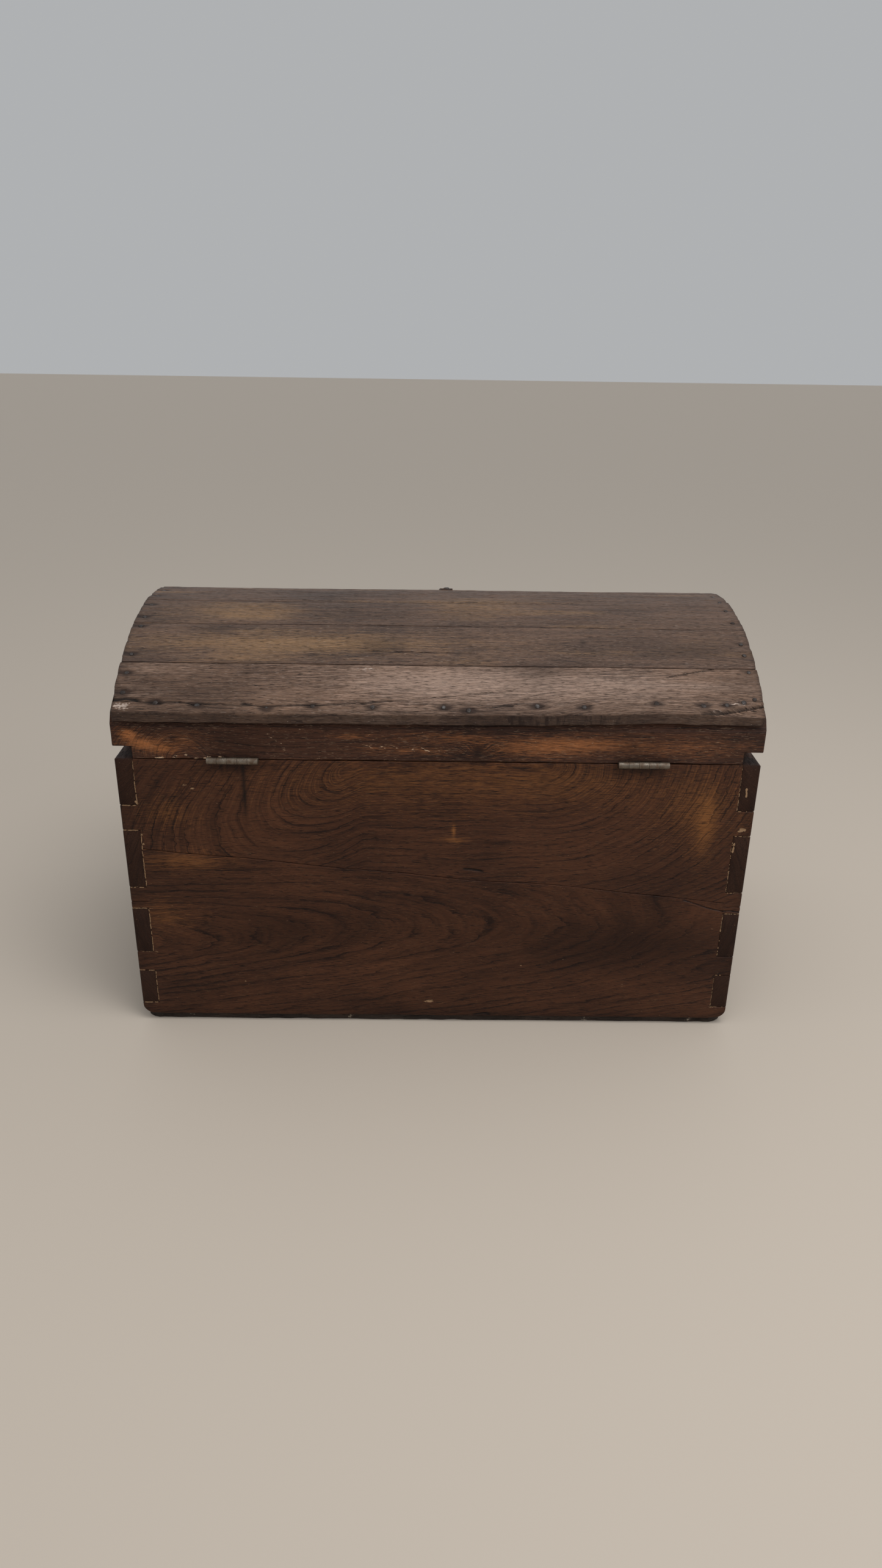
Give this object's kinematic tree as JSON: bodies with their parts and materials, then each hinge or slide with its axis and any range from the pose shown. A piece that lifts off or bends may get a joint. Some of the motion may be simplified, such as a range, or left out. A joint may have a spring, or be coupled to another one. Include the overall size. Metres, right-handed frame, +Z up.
{
  "type": "dome-top storage trunk",
  "caption": "Dome-top wooden trunk with dovetailed board walls, a hinged lid of curved staves, an iron hasp and staple, and a drop handle on each end.",
  "frame": {"origin": "under the middle of the bottom boards, on the surface the trunk stands on", "axes": "+Z up, -Y towards the lock front, +Y towards the hinges, +X along the length"},
  "size_m": [0.892, 0.5329, 0.573],
  "materials": {
    "wall_oak": "dark stained and waxed, worn through at edges",
    "lid_oak": "dark stained and waxed",
    "stave_oak": "dry and weathered, greyed",
    "bottom_oak": "rough sawn, dirty",
    "hinge_steel": "dull, worn, brown patina",
    "forged_iron": "forged, dark, rusted",
    "nail_iron": "dark, rusted"
  },
  "bodies": {
    "chest": {"back_board_lower": "wall_oak", "back_board_upper": "wall_oak", "bottom_board_1": "bottom_oak", "bottom_board_2": "bottom_oak", "bottom_board_3": "bottom_oak", "bottom_nails": "nail_iron", "front_board_lower": "wall_oak", "front_board_upper": "wall_oak", "hinge_left_body_leaf": "hinge_steel", "hinge_left_pin": "hinge_steel", "hinge_right_body_leaf": "hinge_steel", "hinge_right_pin": "hinge_steel", "hinge_screws_body": "hinge_steel", "left_end_board_lower": "wall_oak", "left_end_board_upper": "wall_oak", "left_handle_nails": "nail_iron", "left_handle_plate": "forged_iron", "right_end_board_lower": "wall_oak", "right_end_board_upper": "wall_oak", "right_handle_nails": "nail_iron", "right_handle_plate": "forged_iron", "staple": "forged_iron", "staple_plate": "forged_iron", "staple_plate_nails": "nail_iron"},
    "lid": {"eave_nails_back": "nail_iron", "eave_nails_front": "nail_iron", "hasp_pin": "forged_iron", "hasp_strap": "forged_iron", "hinge_left_lid_leaf": "hinge_steel", "hinge_right_lid_leaf": "hinge_steel", "hinge_screws_lid": "hinge_steel", "lid_back_rail": "lid_oak", "lid_front_rail": "lid_oak", "lid_left_end": "lid_oak", "lid_right_end": "lid_oak", "rail_nails": "nail_iron", "stave_1": "stave_oak", "stave_2": "stave_oak", "stave_3": "stave_oak", "stave_4": "stave_oak", "stave_5": "stave_oak", "stave_6": "stave_oak", "stave_7": "stave_oak", "stave_nails_left": "nail_iron", "stave_nails_right": "nail_iron", "strap_nails": "nail_iron"},
    "hasp": {"hasp": "forged_iron"},
    "left_bail": {"left_handle_bail": "forged_iron"},
    "right_bail": {"right_handle_bail": "forged_iron"}
  },
  "joints": [
    {"name": "lid_hinge", "type": "hinge", "parent": "chest", "child": "lid", "pos_m": [0, 0.25, 0.4126], "axis": [-1, 0, 0], "range_deg": [0, 170]},
    {"name": "hasp_hinge", "type": "hinge", "parent": "lid", "child": "hasp", "pos_m": [-0.0105, -0.2514, 0.4192], "axis": [-1, 0, 0], "range_deg": [-12, 150]},
    {"name": "left_handle_hinge", "type": "hinge", "parent": "chest", "child": "left_bail", "pos_m": [-0.4385, 0, 0.286], "axis": [0, 1, 0], "range_deg": [0, 170]},
    {"name": "right_handle_hinge", "type": "hinge", "parent": "chest", "child": "right_bail", "pos_m": [0.4385, 0, 0.286], "axis": [0, -1, 0], "range_deg": [0, 170]}
  ]
}
